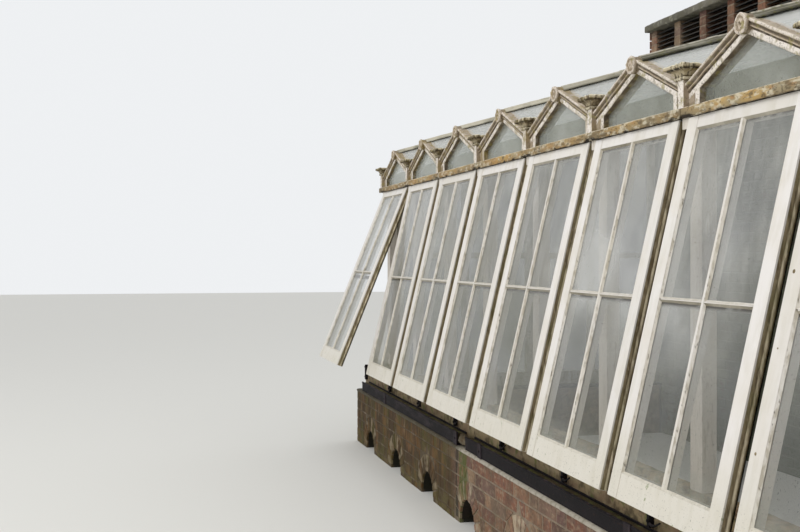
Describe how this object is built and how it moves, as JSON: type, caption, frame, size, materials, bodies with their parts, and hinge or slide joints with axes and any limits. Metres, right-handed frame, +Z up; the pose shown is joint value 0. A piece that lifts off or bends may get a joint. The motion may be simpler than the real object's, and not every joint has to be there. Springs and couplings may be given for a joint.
{
  "type": "lean-to glasshouse range with a ridge-and-furrow roof",
  "caption": "Lean-to glasshouse: arched brick dwarf wall, propped top-hung sashes, small glazed gables and a ridge-and-furrow glass roof against a tall brick wall.",
  "frame": {"origin": "on the ground under the front wall, at the middle bay line, in the plane of the head rail's front face", "axes": "+X along the range, +Y from the sashes to the back wall, +Z up"},
  "size_m": [6.95, 3.3057, 3.5442],
  "materials": {
    "wall_brick": "weathered fired brick",
    "wall_cement": "weathered cement",
    "sash_paint": "old white gloss paint",
    "weathered_paint": "flaking white paint",
    "lichened_timber": "bare timber with lichen",
    "roof_timber": "old white paint",
    "louvre_timber": "tarred boards",
    "ridge_lead": "weathered lead over a roll",
    "gutter_iron": "black painted cast iron",
    "glazing": "horticultural glass with dirt"
  },
  "bodies": {
    "root": {"front_wall": "wall_brick", "end_wall_left": "wall_brick", "end_wall_right": "wall_brick", "back_wall": "wall_brick", "louvre_piers": "wall_brick", "wall_capping": "wall_cement", "end_cappings": "wall_cement", "eave_coping": "wall_cement", "sash_frame_1": "sash_paint", "sash_frame_2": "sash_paint", "sash_frame_3": "sash_paint", "sash_frame_4": "sash_paint", "sash_frame_5": "sash_paint", "sash_frame_6": "sash_paint", "sash_frame_7": "sash_paint", "sash_frame_8": "sash_paint", "front_posts": "weathered_paint", "gable_frames": "weathered_paint", "gable_bosses": "weathered_paint", "valley_posts": "weathered_paint", "valley_capitals": "weathered_paint", "end_frame_left": "weathered_paint", "end_frame_right": "weathered_paint", "head_rail": "lichened_timber", "front_sill": "lichened_timber", "louvre_sill": "lichened_timber", "valley_gutters": "roof_timber", "ridge_bars": "roof_timber", "louvre_boards": "louvre_timber", "ridge_caps": "ridge_lead", "front_gutter": "gutter_iron", "gutter_straps": "gutter_iron", "sash_hinges": "gutter_iron", "sash_glass_1": "glazing", "sash_glass_2": "glazing", "sash_glass_3": "glazing", "sash_glass_4": "glazing", "sash_glass_5": "glazing", "sash_glass_6": "glazing", "sash_glass_7": "glazing", "sash_glass_8": "glazing", "gable_glass": "glazing", "roof_glass_left": "glazing", "roof_glass_right": "glazing", "end_glass": "glazing"}
  },
  "joints": []
}
